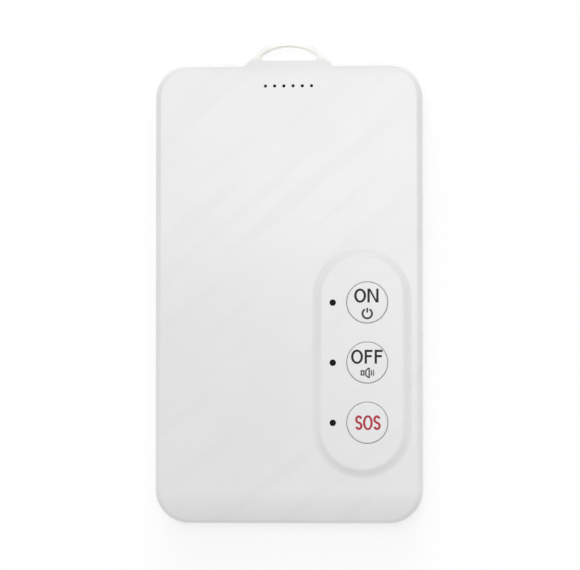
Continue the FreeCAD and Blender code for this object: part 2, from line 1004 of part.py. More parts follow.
def speaker_mesh():
    width = speaker_width - 2 * mesh_margin
    depth = speaker_depth - 2 * mesh_margin
    return block(0, speaker_y, width, depth, wall_under - mesh_thickness, wall_under, mesh_margin)


def speaker_lead(side):
    """Straight lead from the speaker's lower edge to the board."""
    radius = speaker_lead_diameter / 2
    start = speaker_y - speaker_depth / 2
    length = start - board_end + speaker_lead_rest
    z = board_top + radius + thread_gap
    x = side * speaker_lead_spacing / 2
    return Part.makeCylinder(radius, length, V(x, start, z), V(0, -1, 0))


def chip_y():
    return key_ys[0] + chip_row_above_key


def power_chip():
    x = key_x + chip_spacing / 2
    high = board_top + power_chip_height
    return block(x, chip_y(), power_chip_side, power_chip_side, board_top, high)


def inductor():
    x = key_x - chip_spacing / 2
    high = board_top + inductor_height
    return block(x, chip_y(), inductor_side, inductor_side, board_top, high, inductor_corner)


def motion_sensor():
    high = board_top + motion_chip_height
    x = key_x - 3 * chip_spacing / 2
    return block(x, chip_y(), motion_chip_side, motion_chip_side, board_top, high)


def microphone():
    high = board_top + microphone_height
    return block(column_x, microphone_y, microphone_width, microphone_depth, board_top, high)


def sim_y():
    return key_ys[0] + sim_row_above_key + sim_depth / 2


def sim_slot_low():
    return board_bottom - sim_socket_base - sim_height - sim_gap


def sim_socket():
    """Tray-shaped socket under the board, open towards the battery for the card."""
    width = sim_width + 2 * sim_gap + sim_socket_wall
    depth = sim_depth + 2 * sim_gap + 2 * sim_socket_wall
    low = board_bottom - sim_socket_height
    body = block(column_x, sim_y(), width, depth, low, board_bottom)
    slot = block(
        column_x - sim_socket_wall,
        sim_y(),
        width,
        sim_depth + 2 * sim_gap,
        sim_slot_low(),
        board_bottom - sim_socket_base,
    )
    return body.cut(slot)


def sim_card():
    """Small card with one cut corner, seated in its socket."""
    right = column_x + (sim_width + 2 * sim_gap + sim_socket_wall) / 2 - sim_socket_wall - sim_gap
    left = right - sim_width
    foot = sim_y() - sim_depth / 2
    top = sim_y() + sim_depth / 2
    outline = [(left, foot), (right - sim_cut, foot), (right, foot + sim_cut), (right, top), (left, top)]
    low = sim_slot_low()
    return plate(outline, [sim_grip, 0, 0, sim_grip, sim_grip], low, low + sim_height)


def charging_contact(side):
    """Gold-plated pin through the back floor, up to the board."""
    radius = contact_diameter / 2
    stem = contact_stem_diameter / 2
    flange = radius + contact_flange_width
    low = charge_recess_depth - contact_proud
    flange_high = back_floor + contact_flange_thickness
    points = [
        (0, low),
        (radius, low),
        (radius, back_floor),
        (flange, back_floor),
        (flange, flange_high),
        (stem, flange_high),
        (stem, board_bottom),
        (0, board_bottom),
    ]
    radii = [0, contact_proud, 0, 0, 0, 0, 0, 0]
    return turned(points, radii, column_x + side * contact_spacing / 2, contact_y)


def charging_magnet(side):
    low = charge_recess_depth + magnet_cover
    x = column_x + side * magnet_spacing / 2
    return rod(x, contact_y, magnet_diameter / 2, low, low + magnet_height)


nodes = {
    "front_cover": front_cover(),
    "back_cover": back_cover(),
    "case_seal": case_seal(),
    "case_screws": case_screws(),
    "main_board": main_board(),
    "board_screws": board_screws(),
    "battery_cell": battery_cell(),
    "battery_tape": battery_tape(),
    "battery_protection_board": battery_protection_board(),
    "battery_lead_negative": battery_lead(-1),
    "battery_lead_positive": battery_lead(1),
    "battery_socket": battery_socket(),
    "patch_tape": patch_tape(),
    "gps_patch_antenna": gps_patch_antenna(),
    "modem_shield": modem_shield(),
    "modem_chip": modem_chip(),
    "gnss_shield": gnss_shield(),
    "gnss_chip": gnss_chip(),
    "lte_antenna": lte_antenna(),
    "antenna_spring": antenna_spring(),
    "speaker": speaker(),
    "speaker_mesh": speaker_mesh(),
    "speaker_lead_left": speaker_lead(-1),
    "speaker_lead_right": speaker_lead(1),
    "power_chip": power_chip(),
    "inductor": inductor(),
    "motion_sensor": motion_sensor(),
    "microphone": microphone(),
    "sim_socket": sim_socket(),
    "sim_card": sim_card(),
    "charging_contact_left": charging_contact(-1),
    "charging_contact_right": charging_contact(1),
    "charging_magnet_left": charging_magnet(-1),
    "charging_magnet_right": charging_magnet(1),
}
for name, key_y in zip(key_names, key_ys):
    nodes["key_" + name] = keycap(key_y)
    nodes["switch_plunger_" + name] = switch_plunger(key_y)
    nodes["tact_switch_" + name] = tact_switch(key_y)
    nodes["light_pipe_" + name] = light_pipe(key_y)
    nodes["led_" + name] = led(key_y)

os.makedirs("parts", exist_ok=True)
for name, shape in nodes.items():
    shape.exportStep("parts/" + name + ".step")
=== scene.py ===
import math

import bpy
from mathutils import Matrix, Vector


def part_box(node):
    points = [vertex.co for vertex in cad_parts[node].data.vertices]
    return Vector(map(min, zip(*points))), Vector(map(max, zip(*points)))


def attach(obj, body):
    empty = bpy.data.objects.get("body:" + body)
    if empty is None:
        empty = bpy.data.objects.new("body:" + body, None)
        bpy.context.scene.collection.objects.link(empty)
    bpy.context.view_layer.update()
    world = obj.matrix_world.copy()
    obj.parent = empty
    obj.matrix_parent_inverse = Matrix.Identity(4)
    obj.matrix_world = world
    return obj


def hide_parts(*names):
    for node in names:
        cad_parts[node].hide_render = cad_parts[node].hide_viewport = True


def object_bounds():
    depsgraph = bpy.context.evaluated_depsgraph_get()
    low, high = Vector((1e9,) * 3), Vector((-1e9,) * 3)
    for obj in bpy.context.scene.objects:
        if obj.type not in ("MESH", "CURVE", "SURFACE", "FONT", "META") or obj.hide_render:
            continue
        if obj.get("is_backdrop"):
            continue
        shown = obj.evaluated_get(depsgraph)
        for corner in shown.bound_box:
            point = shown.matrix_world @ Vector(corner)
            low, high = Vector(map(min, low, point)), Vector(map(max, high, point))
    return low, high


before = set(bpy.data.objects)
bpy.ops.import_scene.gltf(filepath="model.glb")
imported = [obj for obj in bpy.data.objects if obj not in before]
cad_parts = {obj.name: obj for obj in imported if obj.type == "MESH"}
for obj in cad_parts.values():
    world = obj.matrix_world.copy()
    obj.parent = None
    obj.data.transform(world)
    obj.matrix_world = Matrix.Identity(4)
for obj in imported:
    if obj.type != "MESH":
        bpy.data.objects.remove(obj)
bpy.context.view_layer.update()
scene = bpy.context.scene

# Front cover: one off-white moulding with the lug, the key pad and every hole of the face.
# Satin plastic from a finely etched mould, with faint darker streaks painted on that run up to the right:
# painted reflections.


class Wire:
    """A socket of a node tree. Arithmetic on it adds Math nodes, so that sums read as sums."""

    def __init__(self, tree, socket=None):
        self.tree = tree
        self.socket = socket

    def node(self, kind, settings, inputs, output=None):
        """Adds a node of a type: first its settings, then its sockets' values or links."""
        added = self.tree.nodes.new(kind)
        for name, value in settings.items():
            setattr(added, name, value)
        plug(added, inputs)
        if output is None:
            return Wire(self.tree, added.outputs[0])
        return Wire(self.tree, named(added.outputs)[output])

    def other(self, output):
        """Another output of the node that this socket belongs to."""
        return Wire(self.tree, named(self.socket.node.outputs)[output])

    def maths(self, operation, first, second=0.0):
        values = {"Value": first, "Value_001": second}
        return self.node("ShaderNodeMath", {"operation": operation}, values)

    def __add__(self, value):
        return self.maths("ADD", self, value)

    def __radd__(self, value):
        return self.maths("ADD", value, self)

    def __sub__(self, value):
        return self.maths("SUBTRACT", self, value)

    def __rsub__(self, value):
        return self.maths("SUBTRACT", value, self)

    def __mul__(self, value):
        return self.maths("MULTIPLY", self, value)

    def __rmul__(self, value):
        return self.maths("MULTIPLY", value, self)

    def __truediv__(self, value):
        return self.maths("DIVIDE", self, value)

    def __lt__(self, value):
        return self.maths("LESS_THAN", self, value)

    def __gt__(self, value):
        return self.maths("GREATER_THAN", self, value)

    def __abs__(self):
        return self.maths("ABSOLUTE", self)

    def rise(self, low, high):
        """0 below low, 1 above high and a smooth rise in between."""
        limits = {"Value": self, "From Min": low, "From Max": high}
        return self.node("ShaderNodeMapRange", {"interpolation_type": "SMOOTHSTEP"}, limits)

    def tint(self, first, second):
        """The first colour where this factor is 0 and the second where it is 1."""
        colours = {"Factor_Float": self, "A_Color": opaque(first), "B_Color": opaque(second)}
        return self.node("ShaderNodeMix", {"data_type": "RGBA"}, colours, "Result_Color")


def named(sockets):
    return {socket.identifier: socket for socket in sockets}


def plug(node, inputs):
    """Sets or links a node's sockets, named by their identifiers."""
    sockets = named(node.inputs)
    for name, value in inputs.items():
        if isinstance(value, Wire):
            node.id_data.links.new(value.socket, sockets[name])
        else:
            sockets[name].default_value = value


def opaque(colour):
    return colour if isinstance(colour, Wire) else (*colour, 1.0)


def moved(place, centre=(0, 0, 0), angle=0.0, stretch=(1, 1, 1)):
    """Coordinates for a pattern that has its own centre, turn about Z and stretch."""
    frame_of_pattern = {"Location": centre, "Rotation": (0, 0, angle), "Scale": stretch}
    return place.node(
        "ShaderNodeMapping", {"vector_type": "TEXTURE"}, {"Vector": place, **frame_of_pattern}
    )


def noise(place, size, detail=2.0):
    """Soft noise from 0 to 1 whose features are about so many metres wide."""
    values = {"Vector": place, "Scale": 1 / size, "Detail": detail}
    return place.node("ShaderNodeTexNoise", {}, values)


def relief(height, depth):
    """Normal of a surface whose height, from 0 to 1, is so many metres deep."""
    return height.node("ShaderNodeBump", {}, {"Height": height, "Distance": depth})


def finish(name, dark, light, patch, gloss, grain, depth, fixed=()):
    """Material whose colour and roughness drift in patches, over a fine grain of its surface."""
    material = bpy.data.materials.new(name)
    material.use_nodes = True
    shader = material.node_tree.nodes["Principled BSDF"]
    place = Wire(material.node_tree).node("ShaderNodeTexCoord", {}, {}, "Object")
    drift = noise(place, patch).rise(0.3, 0.7)
    fine = noise(place, grain)
    plug(
        shader,
        {
            "Base Color": drift.tint(dark, light),
            "Roughness": fine * (gloss[1] - gloss[0]) + gloss[0],
            "Normal": relief(fine, depth),
            **dict(fixed),
        },
    )
    return material, shader, place


def clad(material, *nodes):
    """Gives CAD nodes their finish."""
    for name in nodes:
        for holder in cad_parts[name].material_slots:
            holder.material = material


def split(place):
    """The X, Y and Z of a place."""
    x = place.node("ShaderNodeSeparateXYZ", {}, {"Vector": place})
    return x, x.other("Y"), x.other("Z")


def length(x, y):
    squared = x * x + y * y
    return squared.maths("SQRT", squared)


def overlay(shader, mask, colour, metallic=None, roughness=None):
    """Lays a colour, and its metal and roughness, over what a finish has so far."""
    plug(shader, {"Base Color": mask.tint(source(shader, "Base Color"), colour)})
    for name, value in (("Metallic", metallic), ("Roughness", roughness)):
        if value is not None:
            below = source(shader, name)
            plug(shader, {name: mask * (value - below) + below})


def source(shader, name):
    """What feeds a socket now: its link, or else its value."""
    socket = shader.inputs[name]
    if socket.is_linked:
        return Wire(shader.id_data, socket.links[0].from_socket)
    return socket.default_value


shell, shell_shader, place = finish(
    "shell",
    dark=(0.80, 0.80, 0.80),
    light=(0.82, 0.82, 0.82),
    patch=0.018,
    gloss=(0.15, 0.20),
    grain=0.00016,
    depth=0.0000007,
)
# Painted reflection: faint darker streaks across the face that run up to the right.
streak_angle = math.radians(39)
reflection_streaks = noise(moved(place, angle=streak_angle, stretch=(8, 1, 1)), 0.0034, detail=0.0)
overlay(shell_shader, reflection_streaks.rise(0.5, 0.75) * 0.5, (0.775, 0.775, 0.775))

# A bright ivory band along the arch of the lug's slot is a painted highlight, where the rounded bar catches
# the light.
arch_radius = 0.0101
arch_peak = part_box("front_cover")[1].y - 0.001
highlight_width = 0.0010
x, y, _ = split(moved(place, (0, arch_peak - arch_radius - 0.0007, 0)))
reach = length(x, y)
arch_highlight = reach.rise(arch_radius - highlight_width / 2, arch_radius)
arch_highlight = arch_highlight * (1 - reach.rise(arch_radius + highlight_width / 2, arch_radius + 2 * highlight_width))
overlay(shell_shader, arch_highlight * y.rise(0.0075, 0.0085), (0.93, 0.93, 0.86))
clad(shell, "front_cover")

# Speaker mesh: a patch of fine black woven cloth under the six holes of the face.
# It keeps dust off the speaker, and a thin adhesive frame holds it to the wall.

weave_pitch = 0.00025
thread_radius = 0.00006
weave_rim = 0.0005


def recipe(name, sizes):
    """Geometry tree with named sizes: the tree, its points and a wire for each size."""
    tree = bpy.data.node_groups.new(name, "GeometryNodeTree")
    for way in ("INPUT", "OUTPUT"):
        tree.interface.new_socket("Geometry", in_out=way, socket_type="NodeSocketGeometry")
    for size in sizes:
        tree.interface.new_socket(size, in_out="INPUT", socket_type="NodeSocketFloat")
    points = Wire(tree).node("NodeGroupInput", {}, {})
    wires = {socket.name: Wire(tree, socket) for socket in points.socket.node.outputs}
    return tree, points, [wires[size] for size in sizes]


def serve(points, shape, material, turn=(0, 0, 0)):
    """Ends a tree: the shape on every point, made real, with its material."""
    placed = points.node(
        "GeometryNodeInstanceOnPoints", {}, {"Points": points, "Instance": shape, "Rotation": turn}
    )
    real = placed.node("GeometryNodeRealizeInstances", {}, {"Geometry": placed})
    dressed = real.node("GeometryNodeSetMaterial", {}, {"Geometry": real, "Material": material})
    result = dressed.tree.nodes.new("NodeGroupOutput")
    dressed.tree.links.new(dressed.socket, result.inputs[0])


def joined(first, second):
    both = first.node("GeometryNodeJoinGeometry", {}, {"Geometry": first})
    plug(both.socket.node, {"Geometry": second})
    return both


def vector(wire, x=0.0, y=0.0, z=0.0):
    return wire.node("ShaderNodeCombineXYZ", {}, {"X": x, "Y": y, "Z": z})


def grown(name, tree, sizes, places, body="housing"):
    """Plain mesh of what a tree makes on points at the given places, riding on a body."""
    points = bpy.data.meshes.new(name + "_points")
    points.from_pydata(places, [], [])
    piece = bpy.data.objects.new(name, points)
    scene.collection.objects.link(piece)
    modifier = piece.modifiers.new("grown", "NODES")
    modifier.node_group = tree
    for item in tree.interface.items_tree:
        if item.in_out == "INPUT" and item.name in sizes:
            modifier[item.identifier] = sizes[item.name]
    evaluated = piece.evaluated_get(bpy.context.evaluated_depsgraph_get())
    piece.data = bpy.data.meshes.new_from_object(evaluated)
    piece.modifiers.clear()
    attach(piece, body)
    return piece


def stamped(name, loops, low, high, material, centre, body="housing"):
    """Flat piece from filled outlines in millimetres about a centre, between two heights."""
    curve = bpy.data.curves.new(name, "CURVE")
    curve.dimensions = "2D"
    curve.fill_mode = "BOTH"
    curve.extrude = (high - low) / 2
    for loop in loops:
        spline = curve.splines.new("POLY")
        spline.points.add(len(loop) - 1)
        spline.use_cyclic_u = True
        for point, (x, y) in zip(spline.points, loop):
            point.co = (x / 1000, y / 1000, 0, 1)
    drawn = bpy.data.objects.new(name + "_outline", curve)
    mesh = bpy.data.meshes.new_from_object(drawn)
    bpy.data.objects.remove(drawn)
    mesh.transform(Matrix.Translation((centre.x, centre.y, (low + high) / 2)))
    mesh.materials.append(material)
    piece = bpy.data.objects.new(name, mesh)
    scene.collection.objects.link(piece)
    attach(piece, body)
    return piece


def woven(material):
    """Tree of a woven cloth: threads along X and Y that pass over and under each other."""
    tree, points, sizes = recipe("woven_cloth", ("Width", "Depth", "Pitch", "Thread Radius"))
    width, depth, pitch, radius = sizes
    place = points.node("GeometryNodeInputPosition", {}, {})
    x, y, _ = split(place)
    wave = (x * math.pi / pitch).maths("SINE", x * math.pi / pitch)
    wave = wave * y.maths("COSINE", y * math.pi / pitch)
    ring = points.node("GeometryNodeCurvePrimitiveCircle", {}, {"Resolution": 5, "Radius": radius})
    sets = []
    for side, run, spread in ((1, width, depth), (-1, depth, width)):
        along = vector(points, x=run / 2) if side == 1 else vector(points, y=run / 2)
        back = vector(points, x=run / -2) if side == 1 else vector(points, y=run / -2)
        thread = points.node("GeometryNodeCurvePrimitiveLine", {}, {"Start": back, "End": along})
        inset = 0 if side == 1 else pitch / 2
        start = spread / -2 + inset
        first = vector(points, y=start) if side == 1 else vector(points, x=start)
        step = vector(points, y=pitch) if side == 1 else vector(points, x=pitch)
        count = spread / pitch + (1 if side == 1 else 0)
        row = {"Count": count, "Start Location": first, "Offset": step}
        line = points.node("GeometryNodeMeshLine", {}, row)
        laid = line.node("GeometryNodeInstanceOnPoints", {}, {"Points": line, "Instance": thread})
        laid = laid.node("GeometryNodeRealizeInstances", {}, {"Geometry": laid})
        fine = {"Curve": laid, "Length": pitch / 4}
        laid = laid.node("GeometryNodeResampleCurve", {"mode": "LENGTH"}, fine)
        lift = vector(points, z=wave * radius * side)
        laid = laid.node("GeometryNodeSetPosition", {}, {"Geometry": laid, "Offset": lift})
        tube = {"Curve": laid, "Profile Curve": ring, "Fill Caps": True}
        sets.append(laid.node("GeometryNodeCurveToMesh", {}, tube))
    serve(points, joined(*sets), material)
    return tree


black_thread, _, _ = finish(
    "black_thread",
    dark=(0.006, 0.006, 0.006),
    light=(0.012, 0.012, 0.012),
    patch=0.0006,
    gloss=(0.4, 0.55),
    grain=0.00004,
    depth=0.000001,
    fixed={"Specular IOR Level": 0.2},
)
adhesive, _, _ = finish(
    "adhesive",
    dark=(0.02, 0.02, 0.02),
    light=(0.03, 0.03, 0.03),
    patch=0.001,
    gloss=(0.5, 0.7),
    grain=0.0001,
    depth=0.000003,
)
low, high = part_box("speaker_mesh")
centre = (low + high) / 2
half_wide = (high.x - low.x) / 2
half_deep = (high.y - low.y) / 2


def oblong_loop(half_x, half_y, corner, count=6):
    """Rectangle with round corners in millimetres, its half sizes in metres."""
    loop = []
    for quarter, (side_x, side_y) in enumerate(((1, 1), (-1, 1), (-1, -1), (1, -1))):
        for i in range(count + 1):
            t = math.pi / 2 * (quarter + i / count)
            x = side_x * (half_x - corner) + corner * math.cos(t)
            y = side_y * (half_y - corner) + corner * math.sin(t)
            loop.append((x * 1000, y * 1000))
    return loop


frame_loops = [
    oblong_loop(half_wide, half_deep, 0.001),
    oblong_loop(half_wide - weave_rim, half_deep - weave_rim, 0.0005),
]
mesh_frame = stamped("speaker_mesh_frame", frame_loops, low.z, high.z, adhesive, centre)
cloth_sizes = {
    "Width": 2 * (half_wide - weave_rim),
    "Depth": 2 * (half_deep - weave_rim),
    "Pitch": weave_pitch,
    "Thread Radius": thread_radius,
}
mesh_cloth = grown("speaker_mesh_cloth", woven(black_thread), cloth_sizes, [centre])
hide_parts("speaker_mesh")
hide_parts("speaker_mesh")

# Speaker: a small moulded box with its membrane towards the face, and two soldered leads.
# A bright ring of stamped steel clamps the membrane's edge.

speaker_case, speaker_shader, place = finish(
    "speaker_case",
    dark=(0.010, 0.010, 0.011),
    light=(0.018, 0.018, 0.019),
    patch=0.003,
    gloss=(0.35, 0.5),
    grain=0.0001,
    depth=0.000003,
)
low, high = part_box("speaker")
x, y, z = split(moved(place, (low + high) / 2))
cone = length(x * 0.45, y)
clamp = cone.rise(0.0022, 0.0023) * (1 - cone.rise(0.0026, 0.0027))
overlay(speaker_shader, clamp * (z > 0.0012) * 0.2, (0.12, 0.12, 0.12), roughness=0.4)
clad(speaker_case, "speaker")


def insulation(name, dark, light):
    """Soft silicone round a stranded wire, glossier where it was handled."""
    return finish(name, dark, light, 0.0015, (0.35, 0.6), 0.00012, 0.000004)[0]


black_lead = insulation("black_lead", (0.010, 0.010, 0.010), (0.020, 0.020, 0.020))
red_lead = insulation("red_lead", (0.42, 0.012, 0.012), (0.52, 0.022, 0.018))
clad(black_lead, "speaker_lead_left")
clad(red_lead, "speaker_lead_right")

# Mobile antenna: an amber polyimide film stuck inside the face, with a copper path etched
# on it that winds to and fro, and a tail that reaches the spring on the board.

film, film_shader, place = finish(
    "antenna_film",
    dark=(0.26, 0.13, 0.035),
    light=(0.33, 0.17, 0.05),
    patch=0.002,
    gloss=(0.2, 0.35),
    grain=0.0002,
    depth=0.000003,
)


def lines(value, pitch, share):
    """1 on lines a pitch apart, each as wide as its share of the pitch."""
    part = value / pitch
    return abs(part.maths("FRACT", part) - 0.5) < share / 2


low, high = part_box("lte_antenna")
x, y, _ = split(moved(place, ((low.x + high.x) / 2, high.y, 0)))
winding = lines(x, 0.0016, 0.55) * (abs(y) > 0.0006) * (abs(y) < 0.0058)
edge_path = (abs(y) > 0.0004) * (abs(y) < 0.0010)
tail_path = (abs(x) < 0.0009) * (abs(y) > 0.005)
copper = winding.maths("MAXIMUM", winding.maths("MAXIMUM", winding, edge_path), tail_path)
overlay(film_shader, copper, (0.42, 0.22, 0.08), metallic=0.7, roughness=0.35)
clad(film, "lte_antenna")

# Keys: three round caps of the same plastic, with their legends pad-printed on the top.
# The ink is a thin layer: near black, grey for the symbols and red for the alarm key.

ink_thickness = 0.000012
key_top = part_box("key_on")[1].z


def ellipse(x, y, wide, high, count=48):
    """Closed outline, its centre and its full width and height given."""
    turns = [2 * math.pi * i / count for i in range(count)]
    return [(x + wide / 2 * math.cos(t), y + high / 2 * math.sin(t)) for t in turns]


def ribbon(path, width):
    """Closed outline of a stroke of one width along an open path."""
    left = []
    right = []
    for i, (x, y) in enumerate(path):
        ahead = path[min(i + 1, len(path) - 1)]
        behind = path[max(i - 1, 0)]
        along = Vector((ahead[0] - behind[0], ahead[1] - behind[1])).normalized()
        left.append((x - along.y * width / 2, y + along.x * width / 2))
        right.append((x + along.y * width / 2, y - along.x * width / 2))
    return left + right[::-1]


def arc(x, y, radius, start, end, count=24):
    """Open path round a centre, from one angle to another in degrees."""
    turns = [math.radians(start + (end - start) * i / count) for i in range(count + 1)]
    return [(x + radius * math.cos(t), y + radius * math.sin(t)) for t in turns]


def letter_o(left, foot, wide, high, stroke):
    x = left + wide / 2
    y = foot + high / 2
    return [ellipse(x, y, wide, high), ellipse(x, y, wide - 2 * stroke, high - 1.8 * stroke)]


def letter_n(left, foot, wide, high, stroke):
    right = left + wide
    top = foot + high
    slant = stroke * 1.2
    return [
        [
            (left, foot),
            (left + stroke, foot),
            (left + stroke, top - slant),
            (right - slant, foot),
            (right, foot),
            (right, top),
            (right - stroke, top),
            (right - stroke, foot + slant),
            (left + slant, top),
            (left, top),
        ]
    ]


def letter_f(left, foot, wide, high, stroke):
    right = left + wide
    top = foot + high
    middle = foot + high * 0.54
    return [
        [
            (left, foot),
            (left + stroke, foot),
            (left + stroke, middle - stroke / 2),
            (right - stroke / 3, middle - stroke / 2),
            (right - stroke / 3, middle + stroke / 2),
            (left + stroke, middle + stroke / 2),
            (left + stroke, top - stroke),
            (right, top - stroke),
            (right, top),
            (left, top),
        ]
    ]


def letter_s(left, foot, wide, high, stroke):
    """Two bowls as one curve: its x swings twice while its y falls once."""
    x = left + wide / 2
    y = foot + high / 2
    path = []
    for degrees in range(-36, 217, 6):
        t = math.radians(degrees)
        across = -(wide - stroke) / 2 * math.sin(2 * t)
        fall = 0.85 * math.cos(t) + 0.15 * math.cos(3 * t)
        path.append((x + across, y + (high - stroke) / 2 * fall))
    return [ribbon(path, stroke)]


def printed(name, loops, ink, key):
    """Ink on a key's top: filled outlines in millimetres from the key's centre."""
    low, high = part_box(key)
    return stamped(name, loops, key_top, key_top + ink_thickness, ink, (low + high) / 2, key)


keycap, _, _ = finish(
    "keycap",
    dark=(0.80, 0.80, 0.80),
    light=(0.82, 0.82, 0.82),
    patch=0.006,
    gloss=(0.18, 0.24),
    grain=0.00014,
    depth=0.0000007,
)


def pad_ink(name, dark, light):
    """Pad-printing ink: a thin matt film with fine pits."""
    gloss = (0.35, 0.5)
    fixed = {"Specular IOR Level": 0.3}
    return finish(name, dark, light, 0.0008, gloss, 0.00008, 0.000002, fixed)[0]


black_ink = pad_ink("black_ink", (0.004, 0.004, 0.0045), (0.008, 0.008, 0.009))
grey_ink = pad_ink("grey_ink", (0.045, 0.045, 0.047), (0.065, 0.065, 0.068))
red_ink = pad_ink("red_ink", (0.42, 0.022, 0.042), (0.49, 0.030, 0.054))
clad(keycap, "key_on", "key_off", "key_sos")

on_letters = letter_o(-2.77, -0.04, 2.56, 3.06, 0.52) + letter_n(0.08, 0.01, 2.40, 2.98, 0.50)
off_letters = (
    letter_o(-3.46, -0.27, 2.58, 3.08, 0.51)
    + letter_f(-0.53, -0.22, 1.69, 2.99, 0.49)
    + letter_f(1.62, -0.22, 1.72, 2.99, 0.49)
)
sos_letters = (
    letter_s(-2.60, -1.55, 1.60, 3.18, 0.50)
    + letter_o(-0.90, -1.57, 2.10, 3.22, 0.50)
    + letter_s(1.32, -1.55, 1.60, 3.18, 0.50)
)
printed("legend_on", on_letters, black_ink, "key_on")
printed("legend_off", off_letters, black_ink, "key_off")
printed("legend_sos", sos_letters, red_ink, "key_sos")

power_symbol = [
    ribbon(arc(0.04, -2.38, 1.03, 118, 422), 0.44),
    ribbon([(0.04, -2.18), (0.04, -1.13)], 0.38),
]
printed("symbol_power", power_symbol, grey_ink, "key_on")
sound_symbol = [
    [(-1.41, -2.77), (-0.54, -2.77), (-0.54, -1.62), (-1.41, -1.62)],
    [(-1.12, -2.48), (-0.83, -2.48), (-0.83, -1.91), (-1.12, -1.91)],
    [(-0.42, -2.77), (0.22, -3.31), (0.60, -3.31), (0.60, -1.08), (0.22, -1.08), (-0.42, -1.62)],
    [(-0.14, -2.63), (0.30, -3.01), (0.30, -1.38), (-0.14, -1.76)],
    ribbon(arc(0.20, -2.20, 0.80, -40, 40), 0.26),
    ribbon(arc(0.20, -2.20, 1.24, -34, 34), 0.20),
]
printed("symbol_sound", sound_symbol, grey_ink, "key_off")

# Light pipes: smoked, polished rods that carry each indicator's light to the face.
# They look black while the indicators are off; the paler core at each one's centre is a painted highlight.

key_names = ("on", "off", "sos")
for key in key_names:
    low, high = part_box("light_pipe_" + key)
    smoked, smoked_shader, place = finish(
        "smoked_pipe_" + key,
        dark=(0.002, 0.002, 0.002),
        light=(0.004, 0.004, 0.004),
        patch=0.0005,
        gloss=(0.22, 0.3),
        grain=0.00005,
        depth=0.0000005,
        fixed={"Specular IOR Level": 0.06},
    )
    x, y, _ = split(moved(place, (low + high) / 2))
    # Painted highlight: a paler core at the centre of each pipe.
    overlay(smoked_shader, 1 - length(x, y).rise(0.0001, 0.0004), (0.008, 0.008, 0.009))
    clad(smoked, "light_pipe_" + key)

# Main board: glass-fibre laminate under green solder mask, with copper traces that show
# through it, plated vias, and a bare gold ring round each screw hole.

mask_green, board_shader, place = finish(
    "solder_mask",
    dark=(0.008, 0.075, 0.030),
    light=(0.012, 0.095, 0.038),
    patch=0.004,
    gloss=(0.25, 0.38),
    grain=0.0002,
    depth=0.000004,
)
trace_block = 0.004
trace_pitch = 0.0005
via_pitch = 0.002
x, y, _ = split(place)
cell = {"Vector": moved(place, stretch=(trace_block,) * 3), "Scale": 1.0, "Randomness": 0.6}
block_colour = place.node("ShaderNodeTexVoronoi", {"feature": "F1"}, cell, "Color")
chance, across, _ = split(block_colour)
traces = (across > 0.5) * lines(x, trace_pitch, 0.4)
traces = traces + (across < 0.5) * lines(y, trace_pitch, 0.4)
overlay(board_shader, traces * (chance > 0.35), (0.020, 0.16, 0.055))


def rings(place, pitch, inner, outer):
    """1 on rings of a square pattern, between two radii."""
    parts = []
    for value in split(place)[:2]:
        share = value / pitch
        parts.append((share.maths("FRACT", share) - 0.5) * pitch)
    reach = length(*parts)
    return (reach > inner) * (reach < outer)


via_choice = noise(place, 0.006) > 0.5
overlay(board_shader, rings(place, via_pitch, 0.0001, 0.00022) * via_choice, (0.55, 0.38, 0.12), 0.9)
# Painted shade: each via's drilled centre is a dark dot.
overlay(board_shader, rings(place, via_pitch, 0.0, 0.0001) * via_choice, (0.004, 0.004, 0.004))


def centre_of(node):
    low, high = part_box(node)
    return (low + high) / 2


def screw_axes(node):
    """Where the separate screws of one node stand, seen from above."""
    groups = []
    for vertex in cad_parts[node].data.vertices:
        spot = vertex.co.xy
        near = [group for group in groups if (group[0] - spot).length < 0.004]
        if near:
            near[0].append(spot)
        else:
            groups.append([spot])
    axes = []
    for group in groups:
        across = [spot.x for spot in group]
        along = [spot.y for spot in group]
        axes.append(((min(across) + max(across)) / 2, (min(along) + max(along)) / 2))
    return axes


board_screw_axes = screw_axes("board_screws")
for x, y in board_screw_axes:
    reach = length(*split(moved(place, (x, y, 0)))[:2])
    overlay(board_shader, reach < 0.0014, (0.55, 0.38, 0.12), metallic=0.9, roughness=0.3)
clad(mask_green, "main_board")

# Passive parts: small ceramic capacitors and resistors, soldered between the key switches.
# Each has a dull body between two tinned end caps.


def chip_parts(material):
    """Tree of small chips with end caps; some places stay empty and some chips are turned."""
    tree, points, sizes = recipe("passive_parts", ("Length", "Width", "Height", "Fill"))
    long, wide, high, fill = sizes
    drawn = {"Probability": fill, "Seed": 5}
    kept = points.node("FunctionNodeRandomValue", {"data_type": "BOOLEAN"}, drawn, "Value_003")
    emptied = {"Geometry": points, "Selection": 1 - kept}
    mounted = points.node("GeometryNodeDeleteGeometry", {"domain": "POINT"}, emptied)
    bodies = []
    for part, tinned, reach, extra in ((0, 0.0, 0.6, 0.0), (-1, 1.0, 0.2, 1), (1, 1.0, 0.2, 1)):
        swell = 1.0 + 0.06 * extra
        size = vector(points, long * reach, wide * swell, high * swell)
        cube = points.node("GeometryNodeMeshCube", {}, {"Size": size}, "Mesh")
        offset = vector(points, long * (0.4 * part), 0.0, high * swell / 2)
        cube = cube.node("GeometryNodeTransform", {}, {"Geometry": cube, "Translation": offset})
        label = {"Geometry": cube, "Name": "tinned", "Value": tinned}
        bodies.append(cube.node("GeometryNodeStoreNamedAttribute", {}, label))
    turned = {"Probability": 0.4, "Seed": 8}
    quarter = points.node("FunctionNodeRandomValue", {"data_type": "BOOLEAN"}, turned, "Value_003")
    turn = vector(points, z=quarter * (math.pi / 2))
    serve(mounted, joined(joined(bodies[0], bodies[1]), bodies[2]), material, turn)
    return tree


